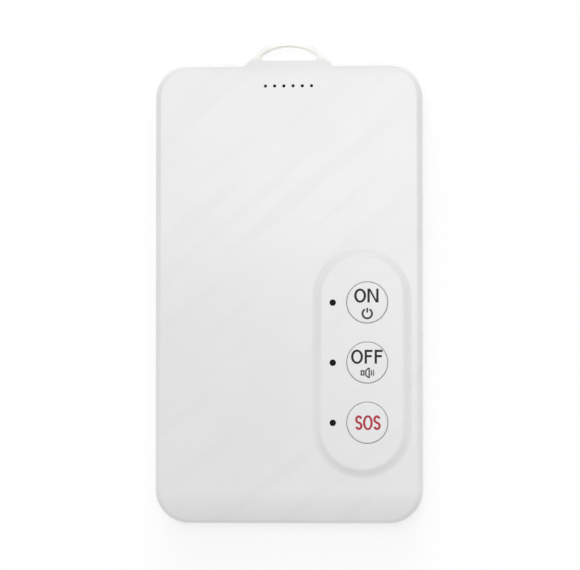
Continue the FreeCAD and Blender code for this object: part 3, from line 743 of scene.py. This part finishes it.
ceramic_chip, chip_shader, place = finish(
    "ceramic_chip",
    dark=(0.10, 0.065, 0.035),
    light=(0.20, 0.14, 0.08),
    patch=0.0015,
    gloss=(0.4, 0.6),
    grain=0.00005,
    depth=0.000002,
)
tinned = place.node("ShaderNodeAttribute", {"attribute_name": "tinned"}, {}, "Fac")
overlay(chip_shader, tinned > 0.5, (0.55, 0.55, 0.54), metallic=0.9, roughness=0.3)

board_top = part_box("main_board")[1].z
chip_sizes = {"Length": 0.0010, "Width": 0.0005, "Height": 0.0005, "Fill": 0.7}
chip_places = []
for upper, lower in (("on", "off"), ("off", "sos")):
    middle = (centre_of("key_" + upper) + centre_of("key_" + lower)) / 2
    for row in (-1, 0, 1):
        for column in range(-4, 5):
            chip_places.append((middle.x + column * 0.0016, middle.y + row * 0.0015, board_top))
passives = grown("passive_parts", chip_parts(ceramic_chip), chip_sizes, chip_places)

# Key switches: a black moulded base with a stamped steel lid, four soldered legs and a
# white plunger that the key's stem presses. Beside each sits a white indicator chip.

switch_black, _, _ = finish(
    "switch_black",
    dark=(0.012, 0.012, 0.012),
    light=(0.022, 0.022, 0.022),
    patch=0.002,
    gloss=(0.4, 0.55),
    grain=0.0001,
    depth=0.000004,
)
nylon, _, _ = finish(
    "nylon",
    dark=(0.70, 0.69, 0.65),
    light=(0.76, 0.75, 0.71),
    patch=0.002,
    gloss=(0.4, 0.55),
    grain=0.0001,
    depth=0.000003,
)
tin, _, _ = finish(
    "tin",
    dark=(0.50, 0.50, 0.49),
    light=(0.60, 0.60, 0.58),
    patch=0.001,
    gloss=(0.25, 0.45),
    grain=0.00006,
    depth=0.000003,
    fixed={"Metallic": 1.0},
)


def blocks(name, material):
    """Tree of equal small blocks that stand on their points."""
    tree, points, sizes = recipe(name, ("Length", "Width", "Height"))
    cube = points.node("GeometryNodeMeshCube", {}, {"Size": vector(points, *sizes)}, "Mesh")
    lift = vector(points, z=sizes[2] / 2)
    cube = cube.node("GeometryNodeTransform", {}, {"Geometry": cube, "Translation": lift})
    serve(points, cube, material)
    return tree


leg_places = []
for key in key_names:
    low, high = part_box("tact_switch_" + key)
    lid, lid_shader, place = finish(
        "switch_lid_" + key,
        dark=(0.012, 0.012, 0.012),
        light=(0.022, 0.022, 0.022),
        patch=0.002,
        gloss=(0.4, 0.55),
        grain=0.0001,
        depth=0.000004,
    )
    _, _, z = split(place)
    overlay(lid_shader, z > high.z - 0.00025, (0.55, 0.55, 0.56), metallic=1.0, roughness=0.35)
    clad(lid, "tact_switch_" + key)
    clad(nylon, "switch_plunger_" + key)
    for side in (low.x - 0.0004, high.x + 0.0004):
        for shift in (-0.0018, 0.0018):
            leg_places.append((side, (low.y + high.y) / 2 + shift, board_top))
    chip_centre = centre_of("led_" + key)
    indicator, indicator_shader, place = finish(
        "indicator_" + key,
        dark=(0.74, 0.74, 0.70),
        light=(0.80, 0.80, 0.76),
        patch=0.0006,
        gloss=(0.3, 0.45),
        grain=0.00005,
        depth=0.000001,
    )
    x, y, _ = split(moved(place, chip_centre))
    overlay(indicator_shader, abs(x) > 0.00055, (0.55, 0.38, 0.12), metallic=0.9)
    overlay(indicator_shader, 1 - length(x, y).rise(0.0002, 0.0003), (0.75, 0.62, 0.10))
    clad(indicator, "led_" + key)
leg_sizes = {"Length": 0.0008, "Width": 0.0006, "Height": 0.00015}
legs = grown("switch_legs", blocks("switch_legs", tin), leg_sizes, leg_places)

# Satellite antenna: a fired ceramic tile with a silvered square on top and a soldered feed
# pin off its centre, stuck to the board by an amber tape.

low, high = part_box("gps_patch_antenna")
tile, tile_shader, place = finish(
    "antenna_tile",
    dark=(0.56, 0.50, 0.39),
    light=(0.63, 0.57, 0.45),
    patch=0.003,
    gloss=(0.45, 0.65),
    grain=0.00012,
    depth=0.000006,
)
silver_half = 0.0074
feed_shift = 0.0018
x, y, z = split(moved(place, ((low.x + high.x) / 2, (low.y + high.y) / 2, high.z)))
silvered = (abs(x) < silver_half) * (abs(y) < silver_half) * (z > -0.00005)
silvered = silvered * (abs(x) + abs(y) < 2 * silver_half - 0.0012)
overlay(tile_shader, silvered, (0.50, 0.49, 0.46), metallic=0.95, roughness=0.5)
feed = 1 - length(x - feed_shift, y).rise(0.0007, 0.0008)
overlay(tile_shader, feed * (z > -0.00005), (0.60, 0.60, 0.58), metallic=0.9, roughness=0.22)
clad(tile, "gps_patch_antenna")

amber_tape, _, _ = finish(
    "amber_tape",
    dark=(0.40, 0.24, 0.05),
    light=(0.50, 0.31, 0.07),
    patch=0.002,
    gloss=(0.25, 0.45),
    grain=0.0003,
    depth=0.000004,
)
clad(amber_tape, "patch_tape")

# Radio modules: the mobile modem on the board's front and the satellite receiver on its back.
# Each is a moulded chip under a lid of plated sheet, with a pattern of small vent holes.

shield_sheet, shield_shader, place = finish(
    "shield_sheet",
    dark=(0.38, 0.38, 0.37),
    light=(0.46, 0.46, 0.45),
    patch=0.004,
    gloss=(0.45, 0.60),
    grain=0.00012,
    depth=0.000003,
    fixed={"Metallic": 1.0},
)
# Dark dots stand in for the vent holes: partly the dark chip below, partly painted shade.
vents = rings(place, 0.0022, 0.0, 0.00025)
overlay(shield_shader, vents, (0.02, 0.02, 0.02), metallic=0.2, roughness=0.8)
clad(shield_sheet, "modem_shield", "gnss_shield")

mould_compound, _, _ = finish(
    "mould_compound",
    dark=(0.016, 0.016, 0.017),
    light=(0.026, 0.026, 0.027),
    patch=0.002,
    gloss=(0.5, 0.65),
    grain=0.00008,
    depth=0.000004,
)
clad(mould_compound, "modem_chip", "gnss_chip")

low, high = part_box("modem_shield")
land_pitch = 0.0011
land_places = []
for side_y in (low.y - 0.0004, high.y + 0.0004):
    for i in range(-7, 8):
        land_places.append(((low.x + high.x) / 2 + i * land_pitch, side_y, board_top))
land_sizes = {"Length": 0.0007, "Width": 0.0008, "Height": 0.0001}
lands = grown("modem_lands", blocks("modem_lands", tin), land_sizes, land_places)

# Power parts and sensors: the charging chip, its inductor, the motion sensor, and the
# microphone, whose plated can has a small sound hole.

for node, dot_shift in (("power_chip", 0.0014), ("motion_sensor", 0.0006)):
    low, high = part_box(node)
    marked, marked_shader, place = finish(
        node,
        dark=(0.016, 0.016, 0.017),
        light=(0.026, 0.026, 0.027),
        patch=0.002,
        gloss=(0.5, 0.65),
        grain=0.00008,
        depth=0.000004,
    )
    dot = ((low.x + high.x) / 2 - dot_shift, (low.y + high.y) / 2 + dot_shift, 0)
    reach = length(*split(moved(place, dot))[:2])
    overlay(marked_shader, 1 - reach.rise(0.00020, 0.00026), (0.10, 0.10, 0.10))
    clad(marked, node)

ferrite, ferrite_shader, place = finish(
    "ferrite",
    dark=(0.045, 0.045, 0.048),
    light=(0.075, 0.075, 0.080),
    patch=0.001,
    gloss=(0.55, 0.75),
    grain=0.0001,
    depth=0.000010,
)
x, y, z = split(moved(place, centre_of("inductor")))
coil = (length(x, y) > 0.0014) * (abs(z) < 0.0003) * lines(z, 0.00015, 0.7)
overlay(ferrite_shader, coil, (0.50, 0.24, 0.10), metallic=0.8, roughness=0.35)
clad(ferrite, "inductor")

plated_can, can_shader, place = finish(
    "plated_can",
    dark=(0.58, 0.48, 0.28),
    light=(0.66, 0.56, 0.34),
    patch=0.001,
    gloss=(0.25, 0.4),
    grain=0.00006,
    depth=0.000002,
    fixed={"Metallic": 1.0},
)
x, y, _ = split(moved(place, centre_of("microphone")))
# Painted shade: a dark dot stands in for the can's sound hole.
overlay(can_shader, 1 - length(x - 0.001, y).rise(0.0002, 0.00025), (0.01, 0.01, 0.01))
clad(plated_can, "microphone")

# Antenna spring: a folded strip of gold-plated spring bronze, soldered to the board, that
# presses on the mobile antenna's tail.

gold, _, _ = finish(
    "gold",
    dark=(0.70, 0.50, 0.18),
    light=(0.78, 0.58, 0.24),
    patch=0.001,
    gloss=(0.18, 0.32),
    grain=0.00006,
    depth=0.000002,
    fixed={"Metallic": 1.0},
)
clad(gold, "antenna_spring")

# Card socket: a stamped steel shell on a black base, with the small subscriber card in it.
# The card is white, with gold contacts that thin black lines divide.

socket_shell, socket_shader, place = finish(
    "socket_shell",
    dark=(0.50, 0.50, 0.50),
    light=(0.58, 0.58, 0.58),
    patch=0.003,
    gloss=(0.25, 0.4),
    grain=0.0001,
    depth=0.000002,
    fixed={"Metallic": 1.0},
)
low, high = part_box("sim_socket")
x, y, z = split(moved(place, (low + high) / 2))
windows = (abs(abs(x) - 0.0035) < 0.0012) * (abs(abs(y) - 0.0022) < 0.0009)
overlay(socket_shader, windows * (z < -0.0005), (0.015, 0.015, 0.015), 0.0, 0.6)
clad(socket_shell, "sim_socket")

card_white, card_shader, place = finish(
    "card_white",
    dark=(0.74, 0.74, 0.74),
    light=(0.79, 0.79, 0.79),
    patch=0.003,
    gloss=(0.3, 0.42),
    grain=0.0001,
    depth=0.000002,
)
low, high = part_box("sim_card")
x, y, z = split(moved(place, (low + high) / 2))
plate = (abs(x) < 0.0052) * (abs(y) < 0.0038) * (z > 0.0002)
divisions = (abs(abs(y) - 0.0013) < 0.0001) + (abs(x) < 0.0014) * (abs(x) > 0.0012)
overlay(card_shader, plate, (0.70, 0.50, 0.18), metallic=1.0, roughness=0.25)
overlay(card_shader, plate * divisions, (0.02, 0.02, 0.02), metallic=0.0, roughness=0.5)
clad(card_white, "sim_card")

# Board screws: four small zinc-plated screws that hold the board to the face's posts.
# Their threads are rolled, and cut their own way into the plastic.


def threads(material):
    """Tree of a screw's thread: a three-sided ridge wound up each screw's axis."""
    tree, points, sizes = recipe("screw_thread", ("Radius", "Pitch", "Length", "Depth"))
    radius, pitch, run, depth = sizes
    winding = {
        "Resolution": 20,
        "Rotations": run / pitch,
        "Start Radius": radius,
        "End Radius": radius,
        "Height": run,
    }
    path = points.node("GeometryNodeCurveSpiral", {}, winding)
    ridge = points.node("GeometryNodeCurvePrimitiveCircle", {}, {"Resolution": 3, "Radius": depth})
    tube = {"Curve": path, "Profile Curve": ridge, "Fill Caps": True}
    serve(points, path.node("GeometryNodeCurveToMesh", {}, tube), material)
    return tree


screw_steel, _, _ = finish(
    "screw_steel",
    dark=(0.44, 0.44, 0.46),
    light=(0.54, 0.54, 0.56),
    patch=0.0012,
    gloss=(0.22, 0.4),
    grain=0.00006,
    depth=0.000003,
    fixed={"Metallic": 1.0},
)
clad(screw_steel, "board_screws", "case_screws")
thread_tree = threads(screw_steel)
low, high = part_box("board_screws")
board_thread = {"Radius": 0.00060, "Pitch": 0.0005, "Length": 0.0016, "Depth": 0.00012}
starts = [(x, y, high.z - 0.0019) for x, y in board_screw_axes]
board_threads = grown("board_screw_threads", thread_tree, board_thread, starts)

# Battery: a flat cell in embossed foil on adhesive tape, with its protection board under
# amber tape on one edge, and two silicone leads to a small white socket.

cell_foil, foil_shader, place = finish(
    "cell_foil",
    dark=(0.38, 0.39, 0.41),
    light=(0.47, 0.48, 0.50),
    patch=0.006,
    gloss=(0.38, 0.52),
    grain=0.0005,
    depth=0.00002,
    fixed={"Metallic": 0.9},
)
low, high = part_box("battery_cell")
_, y, _ = split(moved(place, (0, high.y, 0)))
overlay(foil_shader, y > -0.004, (0.40, 0.24, 0.05), metallic=0.0, roughness=0.35)
clad(cell_foil, "battery_cell")

white_adhesive, _, _ = finish(
    "white_adhesive",
    dark=(0.62, 0.60, 0.54),
    light=(0.70, 0.68, 0.62),
    patch=0.003,
    gloss=(0.5, 0.7),
    grain=0.0004,
    depth=0.00001,
)
clad(white_adhesive, "battery_tape")

wrapped, wrapped_shader, place = finish(
    "wrapped_board",
    dark=(0.38, 0.22, 0.04),
    light=(0.48, 0.29, 0.06),
    patch=0.002,
    gloss=(0.22, 0.4),
    grain=0.0003,
    depth=0.000005,
)
x, y, _ = split(moved(place, centre_of("battery_protection_board")))
chips_below = (abs(abs(x) - 0.005) < 0.0016) * (abs(y) < 0.001)
overlay(wrapped_shader, chips_below * 0.6, (0.03, 0.02, 0.01))
clad(wrapped, "battery_protection_board")
clad(black_lead, "battery_lead_negative")
clad(red_lead, "battery_lead_positive")

socket_white, socket_white_shader, place = finish(
    "socket_white",
    dark=(0.68, 0.67, 0.62),
    light=(0.75, 0.74, 0.69),
    patch=0.002,
    gloss=(0.4, 0.55),
    grain=0.0001,
    depth=0.000003,
)
x, _, z = split(moved(place, centre_of("battery_socket")))
# Painted shade: dark slots stand in for the openings of the socket's contacts.
slots = (abs(abs(x) - 0.0007) < 0.0003) * (abs(z) < 0.0004)
overlay(socket_white_shader, slots, (0.05, 0.05, 0.05))
clad(socket_white, "battery_socket")

# Charging contacts and magnets: two gold-plated pins through the back, and two nickel-plated
# discs of magnet that hold the charging lead's plug.

clad(gold, "charging_contact_left", "charging_contact_right")
nickel, _, _ = finish(
    "nickel",
    dark=(0.58, 0.58, 0.57),
    light=(0.66, 0.66, 0.65),
    patch=0.001,
    gloss=(0.10, 0.2),
    grain=0.00008,
    depth=0.000001,
    fixed={"Metallic": 1.0},
)
clad(nickel, "charging_magnet_left", "charging_magnet_right")

# Seal: a cord of grey silicone that is pressed in the groove between the two covers.

silicone, _, _ = finish(
    "silicone",
    dark=(0.055, 0.055, 0.058),
    light=(0.085, 0.085, 0.088),
    patch=0.004,
    gloss=(0.55, 0.75),
    grain=0.00012,
    depth=0.000006,
)
clad(silicone, "case_seal")

# Back cover: the flat half of the housing, moulded in the same off-white plastic. The tool
# marks its inside with fine parallel lines, and its outside is as satin as the face.

back_shell, back_shader, place = finish(
    "back_shell",
    dark=(0.79, 0.79, 0.78),
    light=(0.81, 0.81, 0.80),
    patch=0.018,
    gloss=(0.2, 0.28),
    grain=0.00016,
    depth=0.000001,
)
_, _, z = split(place)
inside = (z > 0.00115) * (z < 0.00125)
overlay(back_shader, inside * lines(y, 0.0006, 0.5), (0.76, 0.76, 0.75))
clad(back_shell, "back_cover")

# Case screws: four longer screws of the same kind, driven from the back through the back
# cover's seats into the bosses of the face.

low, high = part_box("case_screws")
case_thread = {"Radius": 0.00070, "Pitch": 0.0006, "Length": 0.0032, "Depth": 0.00014}
starts = [(x, y, high.z - 0.0036) for x, y in screw_axes("case_screws")]
case_threads = grown("case_screw_threads", thread_tree, case_thread, starts)

# Studio: a pale table that runs out of sight, a bright room with a window beyond the lug and a dimmer foot
# side, three soft lights overhead, and the camera that looks down on the card from a little to its right.

table_span = 6.0
table_top = -0.00005
table_mesh = bpy.data.meshes.new("table")
corners = [(-1, -1), (1, -1), (1, 1), (-1, 1)]
table_mesh.from_pydata([(x * table_span, y * table_span, table_top) for x, y in corners], [], [(0, 1, 2, 3)])
table_finish, _, _ = finish(
    "table",
    dark=(0.49, 0.49, 0.49),
    light=(0.51, 0.51, 0.51),
    patch=0.12,
    gloss=(0.6, 0.7),
    grain=0.0008,
    depth=0.00001,
    fixed={"Emission Color": (1.0, 1.0, 1.0, 1.0), "Emission Strength": 0.53},
)
table_mesh.materials.append(table_finish)
table = bpy.data.objects.new("table", table_mesh)
scene.collection.objects.link(table)
table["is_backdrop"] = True

room = bpy.data.worlds.new("room")
room.use_nodes = True
walls_brightness = 0.62
direction = Wire(room.node_tree).node("ShaderNodeTexCoord", {}, {}, "Generated")


def glow(towards, brightness, falloff):
    """Brightness of the room round one direction, fading as a power of the cosine."""
    pair = {"Vector": direction, "Vector_001": Vector(towards).normalized()}
    nearness = direction.node("ShaderNodeVectorMath", {"operation": "DOT_PRODUCT"}, pair, "Value")
    return nearness.maths("POWER", nearness.maths("MAXIMUM", nearness, 0.0), falloff) * brightness


ceiling = glow((0.0, 0.0, 1.0), 0.28, 4)
window = glow((0.0, 0.985, 0.17), 3.2, 12)
doorway = glow((0.0, -1.0, 0.1), 0.2, 2)
brightness = ceiling + window - doorway + walls_brightness
plug(room.node_tree.nodes["Background"], {"Color": (1.0, 1.0, 1.0, 1.0), "Strength": brightness})
scene.world = room


def aimed(name, data, place, aim):
    """A lamp or camera at a place, turned to a point with its top towards +Y."""
    placed = bpy.data.objects.new(name, data)
    back = (Vector(place) - Vector(aim)).normalized()
    right = Vector((0, 1, 0)).cross(back).normalized()
    axes = Matrix((right, back.cross(right), back)).transposed()
    placed.matrix_world = Matrix.Translation(place) @ axes.to_4x4()
    scene.collection.objects.link(placed)
    return placed


def soft_light(name, x, y, height, brightness, turn=0.0):
    """Soft light that faces down: its reach along X and Y, its height, radiance and turn."""
    light = bpy.data.lights.new(name, "AREA")
    light.shape = "RECTANGLE"
    light.size = x[1] - x[0]
    light.size_y = y[1] - y[0]
    light.energy = brightness * math.pi * light.size * light.size_y
    centre = ((x[0] + x[1]) / 2, (y[0] + y[1]) / 2, height)
    placed = bpy.data.objects.new(name, light)
    placed.matrix_world = Matrix.Translation(centre) @ Matrix.Rotation(turn, 4, "Z")
    scene.collection.objects.link(placed)


soft_light("light_above", (-0.22, 0.20), (0.045, 0.21), 1.2, 3.85, math.radians(-6))
soft_light("light_right", (-0.03, 0.16), (-0.10, 0.30), 1.2, 1.8)
soft_light("light_beyond", (-0.24, 0.22), (0.21, 0.48), 1.2, 1.7)

lens = bpy.data.cameras.new("camera")
lens.lens = 205.4
lens.sensor_width = 36.0
scene.camera = aimed("camera", lens, (0.0517, -0.0260, 0.7202), (0.00034, 0.00166, 0.0080))
scene.view_settings.view_transform = "Standard"

# The box round everything shown in the finished model, the table aside.
low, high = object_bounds()
